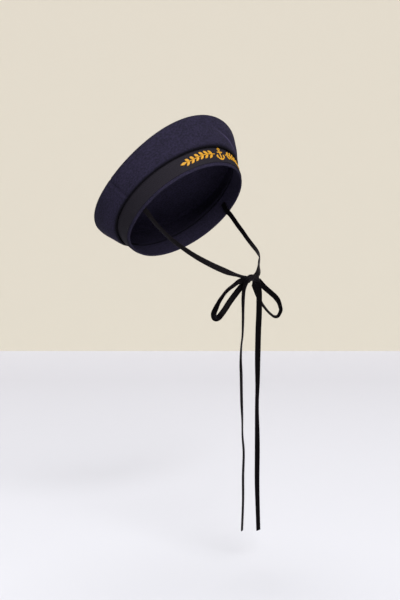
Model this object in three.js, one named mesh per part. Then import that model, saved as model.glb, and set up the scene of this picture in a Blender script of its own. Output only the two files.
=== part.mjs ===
// Sailor cap of navy wool cloth with a ribbed black ribbon round the band and a ribbon tie knotted in a bow,
// in its worn form: leaning back, with the bow's loops and ends hanging free.
// Millimetres, +Z up, the wearer's front towards -Y and right hand towards -X.
// The origin is the centre of the cap's opening, at the lower edge of the band.
import * as THREE from 'three';

// Driving sizes
const CAP_LEAN_DEG = 43;
const CLOTH_THICK = 2.0;
const BAND_THICK = 2.2;
const TALLY_THICK = 0.9;
const GAP = 0.3;
const BAND_EDGE_SHOWN = 3.6;
const RIM_ROUND = 10;
const SHOULDER_DROP = 0.8;
const SIDE_BULGE = 1.5;
const BULGE_SAG = 0.4;
const FOOT_OUT = 0.6;
const HEM_INSIDE_OUT = 2.2;
const HEM_INSIDE_UP = 2.6;
const TOP_DOME = 3.5;
const TIE_WIDTH = 8.0;
const TIE_THICK = 1.2;
const TIE_STEP = 6.0;
const SEGMENTS = 72;
const SIDE_SEAM_DEG = 90;
const SIDE_SEAM_GAP_DEG = 0.16;

// Where rings are laid: shares of the way up the crown's side, degrees of the turn over the rim on both sides
// of its seam, shares of the way out over the top panel, and shares of the way up the band
const WALL_SHARES = [0.16, 0.32, 0.48, 0.64, 0.82];
const SIDE_TURN_DEGREES = [22, 44];
const PANEL_TURN_DEGREES = [90, 68, 46];
const PANEL_SHARES = [0.30, 0.55, 0.78, 0.93];
const BAND_MIDDLE_SHARE = 0.5;
const TALLY_MIDDLE_SHARES = [0.4, 0.7];

// Rings round the cap, in the cap's own upright frame: half length from front to back, half width,
// shift to the back, height, how much more the front is lifted than the back, and how much more both
// ends are lifted than the sides. The rows are outer faces of cloth or ribbon.
const OPENING = { half_length: 93, half_width: 89.6, back: 0, height: 0, front_lift: 0, saddle: 0 };
const TALLY_TOP = { half_length: 102.2, half_width: 94.1, back: 1, height: 27.4, front_lift: 0, saddle: 0 };
const HEM = { half_length: 104.4, half_width: 96.3, back: 1, height: 27.3, front_lift: -1.4, saddle: 0 };
const RIM = { half_length: 121.3, half_width: 112, back: 0.6, height: 61, front_lift: -1.2, saddle: 6.5 };

// The hem hangs lower at the wearer's left front: where, how far down, and how far round in degrees
const HEM_DIP = { angle: -22, down: 2.6, reach: 16 };

// Folds in the crown's side: where each is centred (degrees from the front towards the wearer's right, and
// share of the way up the side), how it slants (share per degree), how far it stands out or in, and how far
// it reaches round and up.
const FOLDS = [
  { name: 'hem over the ribbon', angle: 0, level: 0, slant: 0.0, out: 2.4, reach: 300, spread: 0.26 },
  { name: 'left hem drawn in', angle: -50, level: 0, slant: 0.0, out: -1.3, reach: 28, spread: 0.30 },
  { name: 'front crease', angle: -17, level: 0.48, slant: 0.010, out: -2.6, reach: 24, spread: 0.13 },
  { name: 'right seam dent', angle: 91, level: 0.55, slant: 0.0, out: -1.3, reach: 9, spread: 0.40 },
  { name: 'back roll', angle: 165, level: 0.85, slant: 0.0, out: 1.6, reach: 32, spread: 0.28 },
  { name: 'left seam dent', angle: -91, level: 0.55, slant: 0.0, out: -1.3, reach: 9, spread: 0.40 },
];

// Routes of the tie, from the band to the knot, round each loop, and down each end: x, y, z.
const TIE_RIGHT_ROUTE = [
  [-87.8, 9, 14.5], [-87, 4, 8], [-86.1, -1.5, 2.5], [-86.1, -7, -2], [-85.9, -12, -7],
  [-85, -22, -17], [-82.8, -34, -27.5], [-79.6, -46.5, -38], [-74.2, -61.3, -48.7], [-66.2, -76.6, -59.6],
  [-54.2, -92.4, -70.2], [-45, -100.5, -75.9], [-35, -107, -80.8], [-24, -112, -84.4], [-13.2, -114.7, -87.3],
];
const TIE_LEFT_ROUTE = [
  [87.8, 9, 14.5], [87, 4, 8], [86.1, -1.5, 2.5], [86.1, -7, -2], [85.9, -12, -7],
  [84.7, -22, -17], [82, -34, -27], [78.5, -46, -37], [73, -60, -46.5], [66, -74, -54.5],
  [57, -86, -62], [45.2, -94.2, -71], [34.8, -102.5, -77.5], [24, -109.5, -83], [13.2, -114.2, -87.2],
];
const LOOP_RIGHT_ROUTE = [
  [-12.7, -118, -91], [-19, -117, -91.5], [-27, -116.5, -93.5], [-38.5, -117, -98], [-49, -117.5, -102.5],
  [-56.5, -117.5, -107.5], [-66, -116.5, -117.5], [-70.5, -114.5, -127], [-71, -112.5, -132],
  [-67.5, -110, -137], [-62, -108, -139.8], [-55, -106, -139.5], [-48, -104.5, -136.2], [-41, -105, -130],
  [-32.5, -106.5, -120], [-24.5, -110, -109.5], [-15.5, -115.5, -97],
];
const LOOP_LEFT_ROUTE = [
  [14, -118, -93], [22, -118.5, -99.5], [31, -120.5, -106.5], [39, -122, -112], [46.5, -123.5, -118],
  [52, -123.5, -124], [55.6, -123, -129.5], [58, -122.5, -135.2], [58, -121, -139.5],
  [55.5, -119.5, -143.6], [51, -117.5, -144.2], [45.5, -115.5, -140.8], [38.5, -113.5, -134.5],
  [29, -112, -124.5], [22, -111.5, -115], [14.5, -113, -105.5], [8, -115, -98],
];
const TAIL_RIGHT_ROUTE = [
  [-14.6, -121.5, -93], [-18.4, -121.5, -98], [-21, -121.5, -105], [-22.2, -121.5, -115],
  [-22.4, -121.5, -144], [-23.4, -121.5, -165], [-25.6, -121.5, -177], [-26.8, -121.5, -196],
  [-25.8, -121.5, -218], [-24.8, -121.5, -250], [-23.2, -121.5, -276], [-22.6, -121.5, -299],
  [-20, -121.5, -321], [-21.1, -121.5, -354], [-20.9, -121.5, -386], [-23, -121.5, -428],
];
const TAIL_LEFT_ROUTE = [
  [10.5, -120.2, -95.9], [10.8, -121.5, -101], [11, -122, -106], [11, -122, -116], [10.8, -122, -135],
  [9.5, -122, -157], [8.8, -122, -178], [8.3, -122, -200], [8.4, -122, -233], [7.5, -122, -255],
  [7.4, -122, -271], [7.9, -122, -288], [8.5, -122, -321], [8.3, -122, -365], [9.7, -122, -399],
  [11.7, -122, -435.5],
];

// The bow is tied to face this way, between the front and the wearer's right
const BOW_FACES = [-0.73, -0.68, 0];

// How each ribbon is turned about its own length: share of its length, and degrees from the way it faces
const TIE_RIGHT_TURNS = [
  { share: 0, turn: 0 }, { share: 0.12, turn: 0 }, { share: 0.20, turn: 22 }, { share: 0.30, turn: 31 },
  { share: 0.46, turn: 32 }, { share: 0.58, turn: 28 }, { share: 0.68, turn: 21 }, { share: 0.80, turn: 8 },
  { share: 1, turn: 0 },
];
const TIE_LEFT_TURNS = [
  { share: 0, turn: 0 }, { share: 0.60, turn: 0 }, { share: 0.79, turn: 17 }, { share: 0.92, turn: 38 },
  { share: 1, turn: 38 },
];
const LOOP_RIGHT_TURNS = [
  { share: 0, turn: 12 }, { share: 0.05, turn: 30 }, { share: 0.12, turn: 55 }, { share: 0.22, turn: 62 },
  { share: 0.30, turn: 64 }, { share: 0.38, turn: 55 }, { share: 0.46, turn: 34 }, { share: 0.52, turn: 16 },
  { share: 0.58, turn: -46 }, { share: 0.66, turn: -10 }, { share: 0.74, turn: 0 }, { share: 1, turn: 0 },
];
const LOOP_LEFT_TURNS = [
  { share: 0, turn: 0 }, { share: 0.14, turn: 22 }, { share: 0.29, turn: 26 }, { share: 0.40, turn: 52 },
  { share: 0.50, turn: 64 }, { share: 0.60, turn: 68 }, { share: 0.72, turn: 64 }, { share: 0.86, turn: 42 },
  { share: 1, turn: 34 },
];
const TAIL_RIGHT_TURNS = [
  { share: 0, turn: 0 }, { share: 0.05, turn: -4 }, { share: 0.14, turn: -16 },
  { share: 0.24, turn: -25 }, { share: 0.37, turn: -13 }, { share: 0.47, turn: -14 },
  { share: 0.58, turn: -26 }, { share: 0.75, turn: -18 }, { share: 1, turn: -20 },
];
const TAIL_LEFT_TURNS = [
  { share: 0, turn: 10 }, { share: 0.06, turn: 36 }, { share: 0.14, turn: 46 }, { share: 0.24, turn: 36 },
  { share: 0.48, turn: 0 }, { share: 0.67, turn: 20 }, { share: 1, turn: 4 },
];

// The knot, a pinched lump that lies along X: its centre, and half its profile as reach and radius
const KNOT_CENTRE = [0, -118, -89.5];
const KNOT_HALF_PROFILE = [
  { reach: 0, radius: 4.6 }, { reach: 5, radius: 5.2 },
  { reach: 10.5, radius: 6.4 }, { reach: 12, radius: 5.6 },
];
const KNOT_SIDES = 14;

// The upright oval that the straps of the tie lie round: half sizes, and its shift along Y
const STRAP_OVAL = { half_width: 86, half_length: 115, shift: -3 };

const NAVY_WOOL = { color: '#2d2a39', roughness: 0.95, metalness: 0 };
const NAVY_BAND = { color: '#2b2838', roughness: 0.95, metalness: 0 };
const BLACK_GROSGRAIN = { color: '#262429', roughness: 0.6, metalness: 0 };
const BLACK_VELVET = { color: '#151416', roughness: 0.85, metalness: 0 };

const radians = THREE.MathUtils.degToRad;

function mix(a, b, share) {
  return a + (b - a) * share;
}

// A ring partway from one ring to another
function between(lower, upper, share) {
  const ring = {};
  for (const key of Object.keys(lower)) ring[key] = mix(lower[key], upper[key], share);
  return ring;
}

// A ring moved outwards and upwards; folds stay with the ring they belong to
function moved(ring, out, rise) {
  return {
    ...ring,
    half_length: ring.half_length + out,
    half_width: ring.half_width + out,
    height: ring.height + rise,
  };
}

// Degrees round the cap from one angle to another, the short way
function turnFrom(angle, degrees) {
  return THREE.MathUtils.euclideanModulo(degrees - angle + 180, 360) - 180;
}

// How far the folds push the crown's side out at an angle and a share of the way up
function foldOut(degrees, level) {
  let out = 0;
  for (const fold of FOLDS) {
    const along = turnFrom(fold.angle, degrees);
    const across = level - fold.level - fold.slant * along;
    out += fold.out * Math.exp(-((along / fold.reach) ** 2) - (across / fold.spread) ** 2);
  }
  return out;
}

// How far the hem's dip pulls the crown's side down, most of all at its foot
function dipDown(degrees, level) {
  const along = turnFrom(HEM_DIP.angle, degrees);
  return HEM_DIP.down * Math.exp(-((along / HEM_DIP.reach) ** 2)) * (1 - level) ** 2;
}

// The point of a ring at an angle from the front towards the wearer's right
function ringPoint(ring, degrees) {
  const angle = radians(degrees);
  const soft = ring.level !== undefined;
  const out = soft ? foldOut(degrees, ring.level) : 0;
  const down = soft ? dipDown(degrees, ring.level) : 0;
  return new THREE.Vector3(
    -(ring.half_width + out) * Math.sin(angle),
    ring.back - (ring.half_length + out) * Math.cos(angle),
    ring.height + ring.front_lift * Math.cos(angle) + ring.saddle * Math.cos(2 * angle) - down,
  );
}

function solidFrom(points, triangles) {
  const geometry = new THREE.BufferGeometry();
  geometry.setAttribute('position', new THREE.Float32BufferAttribute(points.flatMap((p) => p.toArray()), 3));
  geometry.setIndex(triangles);
  geometry.computeVertexNormals();
  return geometry;
}

// Two triangles between neighbouring points of two rings
function quad(a, b, c, d) {
  return [a, b, c, a, c, d];
}

// The angles at which points are laid on a ring: all round, or from one seam to another
const STEP_DEG = 360 / SEGMENTS;
const allRound = Array.from({ length: SEGMENTS }, (_, i) => i * STEP_DEG);

function seamToSeam(from, to) {
  const angles = Array.from({ length: (to - from) / STEP_DEG - 1 }, (_, i) => from + (i + 1) * STEP_DEG);
  return [from + SIDE_SEAM_GAP_DEG / 2, ...angles, to - SIDE_SEAM_GAP_DEG / 2];
}

function ringRows(rings, angles) {
  return rings.flatMap((ring) => angles.map((degrees) => ringPoint(ring, degrees)));
}

// A closed wall all round the cap; its rings go up the outside and down the inside
function ringSolid(rings) {
  const triangles = [];
  for (let r = 0; r < rings.length; r++) {
    const next = (r + 1) % rings.length;
    for (let i = 0; i < SEGMENTS; i++) {
      const j = (i + 1) % SEGMENTS;
      const [a, b] = [r * SEGMENTS + i, r * SEGMENTS + j];
      const [c, d] = [next * SEGMENTS + j, next * SEGMENTS + i];
      triangles.push(...quad(a, d, c, b));
    }
  }
  return solidFrom(ringRows(rings, allRound), triangles);
}

// A closed wall partway round the cap, from its outer rings, its inner rings and its angles
function wallSolid(outer, inner, angles) {
  const rings = [...outer, ...inner.toReversed()];
  const columns = angles.length;
  const triangles = [];
  for (let r = 0; r < rings.length; r++) {
    const next = (r + 1) % rings.length;
    for (let i = 0; i + 1 < columns; i++) {
      const [a, d] = [r * columns + i, next * columns + i];
      triangles.push(...quad(a, d, d + 1, a + 1));
    }
  }
  for (let r = 0; r + 1 < outer.length; r++) {
    const inside = rings.length - 1 - r;
    const start = [r, r + 1, inside - 1, inside].map((row) => row * columns);
    const end = start.map((corner) => corner + columns - 1);
    triangles.push(...quad(...start.toReversed()), ...quad(...end));
  }
  return solidFrom(ringRows(rings, angles), triangles);
}

// A closed panel; its rings go from the middle of the upper face, over the edge, to that of the lower face
function panelSolid(rings, topMiddle, bottomMiddle) {
  const points = [...ringRows(rings, allRound), topMiddle, bottomMiddle];
  const [top, bottom, last] = [points.length - 2, points.length - 1, (rings.length - 1) * SEGMENTS];
  const triangles = [];
  for (let i = 0; i < SEGMENTS; i++) {
    const j = (i + 1) % SEGMENTS;
    triangles.push(top, j, i, bottom, last + i, last + j);
    for (let r = 0; r + 1 < rings.length; r++) {
      const [a, b] = [r * SEGMENTS + i, r * SEGMENTS + j];
      triangles.push(...quad(a, b, b + SEGMENTS, a + SEGMENTS));
    }
  }
  return solidFrom(points, triangles);
}

function part(name, geometry, finish) {
  const mesh = new THREE.Mesh(geometry, new THREE.MeshStandardMaterial(finish));
  mesh.name = name;
  return mesh;
}

// The band under the ribbon: its outer face lies inside the ribbon by the ribbon's thickness and a gap
const bandTop = moved(TALLY_TOP, -TALLY_THICK - GAP, 0);

function headband() {
  const shown = BAND_EDGE_SHOWN / bandTop.height;
  const outer = [0, shown, BAND_MIDDLE_SHARE, 1].map((share) => between(OPENING, bandTop, share));
  const inner = outer.map((ring) => moved(ring, -BAND_THICK, 0)).reverse();
  return part('headband', ringSolid([...outer, ...inner]), NAVY_BAND);
}

function tallyRibbon() {
  const low = (BAND_EDGE_SHOWN + GAP) / bandTop.height;
  const shares = [low, ...TALLY_MIDDLE_SHARES, 1 - GAP / bandTop.height];
  const inner = shares.map((share) => moved(between(OPENING, bandTop, share), GAP, 0));
  const outer = inner.map((ring) => moved(ring, TALLY_THICK, 0));
  return part('tally_ribbon', ringSolid([...outer, ...inner.reverse()]), BLACK_GROSGRAIN);
}

// The crown's side, of two panels sewn together at the wearer's left and right: a foot on the band, a rolled
// hem that hangs over the ribbon, a flared wall, and the turn over the rim
const sideFoot = moved(TALLY_TOP, FOOT_OUT, GAP);
const hemInside = moved(TALLY_TOP, HEM_INSIDE_OUT, GAP + HEM_INSIDE_UP);

// A ring of the wall, from the hem to the rim; it bulges in the middle
function wallRing(share) {
  const bulge = SIDE_BULGE * Math.sin(Math.PI * share);
  return { ...moved(between(HEM, RIM, share), bulge, -BULGE_SAG * bulge), level: share };
}

// Rings of the turn over the rim: each has come in and up as an arc does, from the side's outermost ring
const rim = { ...RIM, level: 1 };
const rimInside = moved(rim, -CLOTH_THICK, 0);

function turnOver(ring, round, degrees) {
  return degrees.map((degree) => {
    const angle = radians(degree);
    return moved(ring, -round * (1 - Math.cos(angle)), SHOULDER_DROP * round * Math.sin(angle));
  });
}

function crownSides() {
  const wall = WALL_SHARES.map(wallRing);
  const outer = [
    sideFoot,
    wallRing(0),
    ...wall,
    rim,
    ...turnOver(rim, RIM_ROUND, SIDE_TURN_DEGREES),
  ];
  const slope = Math.atan2(RIM.half_length - HEM.half_length, RIM.height - HEM.height);
  const inset = [-CLOTH_THICK * Math.cos(slope), CLOTH_THICK * Math.sin(slope)];
  const inner = [
    moved(sideFoot, -CLOTH_THICK, 0),
    hemInside,
    ...wall.map((ring) => moved(ring, ...inset)),
    rimInside,
    ...turnOver(rimInside, RIM_ROUND - CLOTH_THICK, SIDE_TURN_DEGREES),
  ];
  const panels = {
    crown_side_front: seamToSeam(-SIDE_SEAM_DEG, SIDE_SEAM_DEG),
    crown_side_back: seamToSeam(SIDE_SEAM_DEG, 360 - SIDE_SEAM_DEG),
  };
  return Object.entries(panels).map(([name, angles]) => {
    const solid = wallSolid(outer, inner, angles);
    return part(name, solid, NAVY_WOOL);
  });
}

// A ring of the flat of the crown's top panel, inside its turn over the rim
function panelRing(edge, share) {
  const lift = TOP_DOME * (1 - share * share);
  return {
    half_length: edge.half_length * share,
    half_width: edge.half_width * share,
    back: edge.back,
    height: edge.height + lift,
    front_lift: edge.front_lift * share,
    saddle: edge.saddle * share * share,
  };
}

// The crown's top panel: a low dome that turns down at its edge to meet the side in a seam on the rim
function crownTop() {
  const upperTurn = turnOver(rim, RIM_ROUND, PANEL_TURN_DEGREES);
  const lowerTurn = turnOver(rimInside, RIM_ROUND - CLOTH_THICK, PANEL_TURN_DEGREES);
  const flat = (edge) => PANEL_SHARES.map((share) => panelRing(edge, share));
  const upper = [...flat(upperTurn[0]), ...upperTurn];
  const lower = [...flat(lowerTurn[0]), ...lowerTurn];
  const middle = (edge) => ringPoint(panelRing(edge, 0), 0);
  const rings = [...upper, ...lower.reverse()];
  return part('crown_top', panelSolid(rings, middle(upperTurn[0]), middle(lowerTurn[0])), NAVY_WOOL);
}

// Degrees of turn at a share of a ribbon's length, eased between the rows of its table
function turnAt(turns, share) {
  const after = turns.findIndex((row) => row.share >= share);
  if (after <= 0) return turns[Math.max(after, 0)].turn;
  const [a, b] = [turns[after - 1], turns[after]];
  return mix(a.turn, b.turn, THREE.MathUtils.smoothstep(share, a.share, b.share));
}

// A flat ribbon of the tie's section swept along its route; acrossAt gives the way across it
function ribbonSolid(route, acrossAt) {
  const stops = route.map((row) => new THREE.Vector3(...row));
  const curve = new THREE.CatmullRomCurve3(stops, false, 'centripetal');
  const steps = Math.ceil(curve.getLength() / TIE_STEP);
  const points = [];
  for (let i = 0; i <= steps; i++) {
    const share = i / steps;
    const middle = curve.getPointAt(share);
    const along = curve.getTangentAt(share);
    const across = acrossAt(middle, along, share);
    const face = new THREE.Vector3().crossVectors(along, across);
    for (const [w, t] of [[1, 1], [-1, 1], [-1, -1], [1, -1]]) {
      points.push(
        middle.clone()
          .addScaledVector(across, (w * TIE_WIDTH) / 2)
          .addScaledVector(face, (t * TIE_THICK) / 2),
      );
    }
  }
  const triangles = [];
  for (let i = 0; i < steps; i++) {
    for (let k = 0; k < 4; k++) {
      const [a, b] = [4 * i + k, 4 * i + ((k + 1) % 4)];
      triangles.push(...quad(a, b, b + 4, a + 4));
    }
  }
  const end = 4 * steps;
  triangles.push(...quad(0, 3, 2, 1), ...quad(end, end + 1, end + 2, end + 3));
  return solidFrom(points, triangles);
}

// The ways that ribbons face: a strap straight out from its upright oval, a loop as the bow does, and a
// hanging end forwards
function outOfOval(point) {
  const { half_width, half_length, shift } = STRAP_OVAL;
  return new THREE.Vector3(point.x / half_width ** 2, (point.y - shift) / half_length ** 2, 0);
}

function asTheBow() {
  return new THREE.Vector3(...BOW_FACES);
}

function forwards() {
  return new THREE.Vector3(0, -1, 0);
}

// The way across a ribbon that faces one way, turned by its table
function facing(wayAt, turns) {
  return (point, along, share) => {
    const across = new THREE.Vector3().crossVectors(along, wayAt(point)).normalize();
    return across.applyAxisAngle(along, radians(turnAt(turns, share)));
  };
}

// The knot's profile runs from one flat end to the other and is turned to lie along X
function knotSolid() {
  const right = KNOT_HALF_PROFILE.slice(1).reverse().map((row) => new THREE.Vector2(row.radius, -row.reach));
  const left = KNOT_HALF_PROFILE.map((row) => new THREE.Vector2(row.radius, row.reach));
  const half = KNOT_HALF_PROFILE.at(-1).reach;
  const profile = [new THREE.Vector2(0, -half), ...right, ...left, new THREE.Vector2(0, half)];
  return new THREE.LatheGeometry(profile, KNOT_SIDES).rotateZ(-Math.PI / 2).translate(...KNOT_CENTRE);
}

function ribbonTie() {
  const pieces = {
    tie_right: ribbonSolid(TIE_RIGHT_ROUTE, facing(outOfOval, TIE_RIGHT_TURNS)),
    tie_left: ribbonSolid(TIE_LEFT_ROUTE, facing(outOfOval, TIE_LEFT_TURNS)),
    bow_knot: knotSolid(),
    bow_loop_right: ribbonSolid(LOOP_RIGHT_ROUTE, facing(asTheBow, LOOP_RIGHT_TURNS)),
    bow_loop_left: ribbonSolid(LOOP_LEFT_ROUTE, facing(asTheBow, LOOP_LEFT_TURNS)),
    tail_right: ribbonSolid(TAIL_RIGHT_ROUTE, facing(forwards, TAIL_RIGHT_TURNS)),
    tail_left: ribbonSolid(TAIL_LEFT_ROUTE, facing(forwards, TAIL_LEFT_TURNS)),
  };
  return Object.entries(pieces).map(([name, solid]) => part(name, solid, BLACK_VELVET));
}

const cap = new THREE.Group();
cap.rotation.x = -radians(CAP_LEAN_DEG);
cap.add(crownTop(), ...crownSides(), headband(), tallyRibbon());

const sailorCap = new THREE.Group();
sailorCap.add(cap, ...ribbonTie());

export default sailorCap;
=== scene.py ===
"""Looks of a sailor cap: navy wool crown, black ribbon with gold embroidery, and a black ribbon tie.

Sizes are millimetres in the cap's own frame and become metres where a mesh is made. The wearer's front is
towards -Y and the right hand towards -X. Angles round the cap start at the front and grow towards the
right hand. The camera and the stage are in metres.
"""

import math
from collections import namedtuple

import bpy
import numpy as np
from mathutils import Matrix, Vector


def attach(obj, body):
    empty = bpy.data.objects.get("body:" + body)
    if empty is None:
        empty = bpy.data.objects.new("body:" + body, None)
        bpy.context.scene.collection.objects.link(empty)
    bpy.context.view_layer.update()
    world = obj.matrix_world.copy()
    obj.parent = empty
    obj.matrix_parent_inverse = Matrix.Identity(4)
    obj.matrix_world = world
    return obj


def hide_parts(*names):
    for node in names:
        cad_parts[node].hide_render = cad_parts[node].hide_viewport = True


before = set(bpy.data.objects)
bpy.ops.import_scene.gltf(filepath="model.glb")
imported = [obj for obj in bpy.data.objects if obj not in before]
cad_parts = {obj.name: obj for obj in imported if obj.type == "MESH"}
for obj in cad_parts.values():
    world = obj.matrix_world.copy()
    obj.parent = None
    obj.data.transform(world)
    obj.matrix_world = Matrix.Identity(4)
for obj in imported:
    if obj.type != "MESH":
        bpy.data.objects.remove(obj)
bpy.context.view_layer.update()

MM = 0.001

# Sizes of the cap, as in the part's source
CAP_LEAN = math.radians(43)
CLOTH_THICK = 2.0
BAND_THICK = 2.2
TALLY_THICK = 0.9
GAP = 0.3
BAND_EDGE_SHOWN = 3.6
RIM_ROUND = 10.0
SHOULDER_DROP = 0.8
SIDE_BULGE = 1.5
BULGE_SAG = 0.4
TOP_DOME = 3.5
RIM_SEAM = math.radians(45)
SIDE_SEAM_DEG = 90

# A ring round the upright cap: half length, half width, shift to the back, height, lift of its front, and
# how far its front and back rise as its sides fall. All are as in the part's source but the hem, which
# hangs lower
Ring = namedtuple("Ring", "half_length half_width back height front_lift saddle")
OPENING = Ring(93.0, 89.6, 0.0, 0.0, 0.0, 0.0)
TALLY_TOP = Ring(102.2, 94.1, 1.0, 27.4, 0.0, 0.0)
HEM = Ring(104.4, 96.3, 1.0, 26.5, -1.2, 0.0)
RIM = Ring(121.3, 112.0, 0.6, 61.0, -1.2, 6.5)

# Where the hem hangs lower, at the wearer's left front and right back, and where the band's foot is pushed
# up: centre in degrees, how far, and how far it reaches round
Shift = namedtuple("Shift", "angle far reach")
HEM_DIPS = [Shift(-22, 2.6, 16), Shift(147, 6.5, 17)]
FOOT_LIFT = Shift(132, 3.5, 22)

# Folds in the crown's side: centre in degrees and share of the way up, slant, how far out, and how far they
# reach round and up
Fold = namedtuple("Fold", "angle level slant out reach spread")
FRONT_RIDGE = Fold(-16, 0.32, 0.0225, 1.4, 11, 0.05)
FOLDS = [
    FRONT_RIDGE,
    Fold(0, 0.0, 0.0, 2.4, 300, 0.26),
    Fold(-17, 0.48, 0.010, -2.6, 24, 0.13),
    Fold(-32, 0.0, 0.0, -2.4, 18, 0.22),
    Fold(91, 0.55, 0.0, -1.3, 9, 0.40),
    Fold(165, 0.85, 0.0, 1.6, 32, 0.28),
    Fold(167, 0.0, 0.0, -3.7, 27, 0.28),
    Fold(-91, 0.55, 0.0, -1.3, 9, 0.40),
]

# The tie's ribbon, and its routes as in the part's source
TIE_WIDTH = 8.0
TIE_THICK = 1.2
TIE_RIGHT_ROUTE = [
    (-87.8, 9, 14.5), (-87, 4, 8), (-86.1, -1.5, 2.5), (-86.1, -7, -2), (-85.9, -12, -7),
    (-85, -22, -17), (-82.8, -34, -27.5), (-79.6, -46.5, -38), (-74.2, -61.3, -48.7),
    (-66.2, -76.6, -59.6), (-54.2, -92.4, -70.2), (-45, -100.5, -75.9), (-35, -107, -80.8),
    (-24, -112, -84.4), (-13.2, -114.7, -87.3),
]
TIE_LEFT_ROUTE = [
    (87.8, 9, 14.5), (87, 4, 8), (86.1, -1.5, 2.5), (86.1, -7, -2), (85.9, -12, -7),
    (84.7, -22, -17), (82, -34, -27), (78.5, -46, -37), (73, -60, -46.5), (66, -74, -54.5),
    (57, -86, -62), (45.2, -94.2, -71), (34.8, -102.5, -77.5), (24, -109.5, -83), (13.2, -114.2, -87.2),
]
LOOP_RIGHT_ROUTE = [
    (-12.7, -118, -91), (-19, -117, -91.5), (-27, -116.5, -93.5), (-38.5, -117, -98), (-49, -117.5, -102.5),
    (-56.5, -117.5, -107.5), (-66, -116.5, -117.5), (-70.5, -114.5, -127), (-71, -112.5, -132),
    (-67.5, -110, -137), (-62, -108, -139.8), (-55, -106, -139.5), (-48, -104.5, -136.2), (-41, -105, -130),
    (-32.5, -106.5, -120), (-24.5, -110, -109.5), (-15.5, -115.5, -97),
]
LOOP_LEFT_ROUTE = [
    (14, -118, -93), (22, -118.5, -99.5), (31, -120.5, -106.5), (39, -122, -112), (46.5, -123.5, -118),
    (52, -123.5, -124), (55.6, -123, -129.5), (58, -122.5, -135.2), (58, -121, -139.5),
    (55.5, -119.5, -143.6), (51, -117.5, -144.2), (45.5, -115.5, -140.8), (38.5, -113.5, -134.5),
    (29, -112, -124.5), (22, -111.5, -115), (14.5, -113, -105.5), (8, -115, -98),
]
TAIL_RIGHT_ROUTE = [
    (-14.6, -121.5, -93), (-18.4, -121.5, -98), (-21, -121.5, -105), (-22.2, -121.5, -115),
    (-22.4, -121.5, -144), (-23.4, -121.5, -165), (-25.6, -121.5, -177), (-26.8, -121.5, -196),
    (-25.8, -121.5, -218), (-24.8, -121.5, -250), (-23.2, -121.5, -276), (-22.6, -121.5, -299),
    (-20, -121.5, -321), (-21.1, -121.5, -354), (-20.9, -121.5, -386), (-23, -121.5, -428),
]
TAIL_LEFT_ROUTE = [
    (10.5, -120.2, -95.9), (10.8, -121.5, -101), (11, -122, -106), (11, -122, -116), (10.8, -122, -135),
    (9.5, -122, -157), (8.8, -122, -178), (8.3, -122, -200), (8.4, -122, -233), (7.5, -122, -255),
    (7.4, -122, -271), (7.9, -122, -288), (8.5, -122, -321), (8.3, -122, -365), (9.7, -122, -399),
    (11.7, -122, -435.5),
]
# How each ribbon is turned about its own length: share of its length, and degrees from the way it faces
TIE_RIGHT_TURNS = [
    (0, 0), (0.12, 0), (0.20, 22), (0.30, 31), (0.46, 32), (0.58, 28), (0.68, 21), (0.80, 8), (1, 0)]
TIE_LEFT_TURNS = [(0, 0), (0.60, 0), (0.79, 17), (0.92, 38), (1, 38)]
LOOP_RIGHT_TURNS = [
    (0, 12), (0.05, 30), (0.12, 55), (0.22, 62), (0.30, 64), (0.38, 55), (0.46, 34), (0.52, 16),
    (0.58, -46), (0.66, -10), (0.74, 0), (1, 0)]
LOOP_LEFT_TURNS = [
    (0, 0), (0.14, 22), (0.29, 26), (0.40, 52), (0.50, 64), (0.60, 68), (0.72, 64), (0.86, 42), (1, 34)]
TAIL_RIGHT_TURNS = [
    (0, 0), (0.05, -4), (0.14, -16), (0.24, -25), (0.37, -13), (0.47, -14), (0.58, -26), (0.75, -18),
    (1, -20)]
TAIL_LEFT_TURNS = [(0, 10), (0.06, 36), (0.14, 46), (0.24, 36), (0.48, 0), (0.67, 20), (1, 4)]
# The way that the bow faces, the front, and the upright oval that the straps lie on
BOW_FACES = (-0.73, -0.68, 0.0)
FRONT = (0.0, -1.0, 0.0)
STRAP_OVAL_WIDTH = 86.0
STRAP_OVAL_LENGTH = 115.0
STRAP_OVAL_SHIFT = -3.0

# The knot, and where inside it the ribbons that it holds begin or end
KNOT_CENTRE = np.array([0.0, -118.0, -88.4])
TUCK_RIGHT = (-4.5, -118.5, -88.6)
TUCK_LEFT = (4.5, -118.5, -88.6)

# How finely the surfaces are laid out: columns round the cap, mm along the tie, and points on a curve
ROUND_CAP = 360
TIE_STEP = 1.0
CURVE_STEPS = 24
CURVE_POINTS = 40


# Meshes from arrays

def grid_faces(rows, columns, wrap_rows=False, wrap_columns=False, start=0):
    """Four corners of each face of a grid of points, numbered along its rows."""
    r = np.arange(rows if wrap_rows else rows - 1)[:, None]
    c = np.arange(columns if wrap_columns else columns - 1)[None, :]
    r_next = (r + 1) % rows
    c_next = (c + 1) % columns
    corners = [r * columns + c, r * columns + c_next, r_next * columns + c_next, r_next * columns + c]
    return start + np.stack(np.broadcast_arrays(*corners), -1).reshape(-1, 4)


def tube_faces(rows, columns, start=0):
    """Corners of each face of a tube of points, and of the two faces that close its ends."""
    sides = grid_faces(rows, columns, wrap_columns=True, start=start).tolist()
    first = [start + k for k in range(columns)]
    last = [k + (rows - 1) * columns for k in first]
    return sides + [first[::-1], last]


def grid_map(along, across):
    """Places on the cloth, in mm, of the corners of a grid's faces; along and across have one value more
    than there are faces that way."""
    u = np.broadcast_to(along, (len(across), len(along)))
    v = np.broadcast_to(np.asarray(across)[:, None], u.shape)
    places = np.stack([u, v], -1)
    corners = [(0, 0), (0, 1), (1, 1), (1, 0)]
    rows, columns = len(across) - 1, len(along) - 1
    picked = [places[r:r + rows, c:c + columns] for r, c in corners]
    return np.stack(picked, 2).reshape(-1, 4, 2)


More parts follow.
